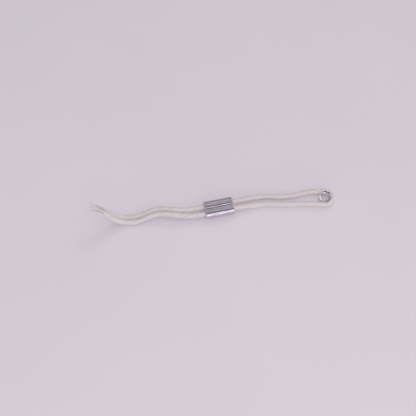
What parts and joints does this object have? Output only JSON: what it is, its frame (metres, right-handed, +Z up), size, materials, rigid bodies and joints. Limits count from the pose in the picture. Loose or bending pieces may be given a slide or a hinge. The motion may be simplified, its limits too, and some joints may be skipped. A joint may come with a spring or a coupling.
{
  "type": "pull cord end",
  "caption": "Soft white cord doubled back through a pressed metal double ferrule, with an eye round a small waisted metal ring and two loose frayed tails.",
  "frame": {"origin": "centre of the ferrule's flat base, on the surface that the part lies on", "axes": "+X along the ferrule's barrels from the tails towards the eye, +Y across to the far strand, +Z up"},
  "size_m": [0.0836, 0.0146, 0.0108],
  "materials": {
    "cord": "soft twisted yarn, creamy white, slightly fuzzy",
    "ferrule_aluminium": "bare pressed aluminium with drawn lines along the barrels and a bright edge",
    "ring_plated_metal": "bright plated, polished"
  },
  "bodies": {
    "grip": {"crimp_ferrule": "ferrule_aluminium", "gripped_cord_far": "cord", "gripped_cord_near": "cord"},
    "eye_neck": {"eye_bend_far": "cord", "eye_bend_near": "cord", "eye_neck_far": "cord", "eye_neck_near": "cord"},
    "eye": {"eye_sway_far": "cord", "eye_sway_near": "cord", "eye_leg_far": "cord", "eye_leg_near": "cord", "eye_bight": "cord"},
    "ring": {"eye_ring": "ring_plated_metal"},
    "tail_neck": {"tail_bend_far": "cord", "tail_bend_near": "cord", "tail_neck_far": "cord", "tail_neck_near": "cord"},
    "tail_far": {"tail_sway_far": "cord", "tail_far": "cord", "ply_far_1": "cord", "ply_far_2": "cord", "ply_far_3": "cord"},
    "tail_near": {"tail_sway_near": "cord", "tail_near": "cord", "ply_near_1": "cord", "ply_near_2": "cord", "ply_near_3": "cord"}
  },
  "joints": [
    {"name": "eye_lift", "type": "hinge", "parent": "grip", "child": "eye_neck", "pos_m": [0.0068, 0, 0.0016], "axis": [0, -1, 0], "range_deg": [-90, 90], "deforming": ["eye_bend_far", "eye_bend_near"]},
    {"name": "eye_sway", "type": "hinge", "parent": "eye_neck", "child": "eye", "pos_m": [0.0119, 0, 0.0011], "axis": [0, 0, 1], "range_deg": [-35, 35], "deforming": ["eye_sway_far", "eye_sway_near"]},
    {"name": "ring_spin", "type": "hinge", "parent": "eye", "child": "ring", "pos_m": [0.03675, -0.00371, 0.00105], "axis": [0, 0, 1], "continuous": true},
    {"name": "tails_lift", "type": "hinge", "parent": "grip", "child": "tail_neck", "pos_m": [-0.0068, 0, 0.0016], "axis": [0, 1, 0], "range_deg": [-90, 90], "deforming": ["tail_bend_far", "tail_bend_near"]},
    {"name": "far_tail_sway", "type": "hinge", "parent": "tail_neck", "child": "tail_far", "pos_m": [-0.0119, 0.0012, 0.0021], "axis": [0, 0, -1], "range_deg": [0, 45], "deforming": ["tail_sway_far"]},
    {"name": "near_tail_sway", "type": "hinge", "parent": "tail_neck", "child": "tail_near", "pos_m": [-0.0119, -0.001, 0.0018], "axis": [0, 0, 1], "range_deg": [0, 45], "deforming": ["tail_sway_near"]}
  ]
}
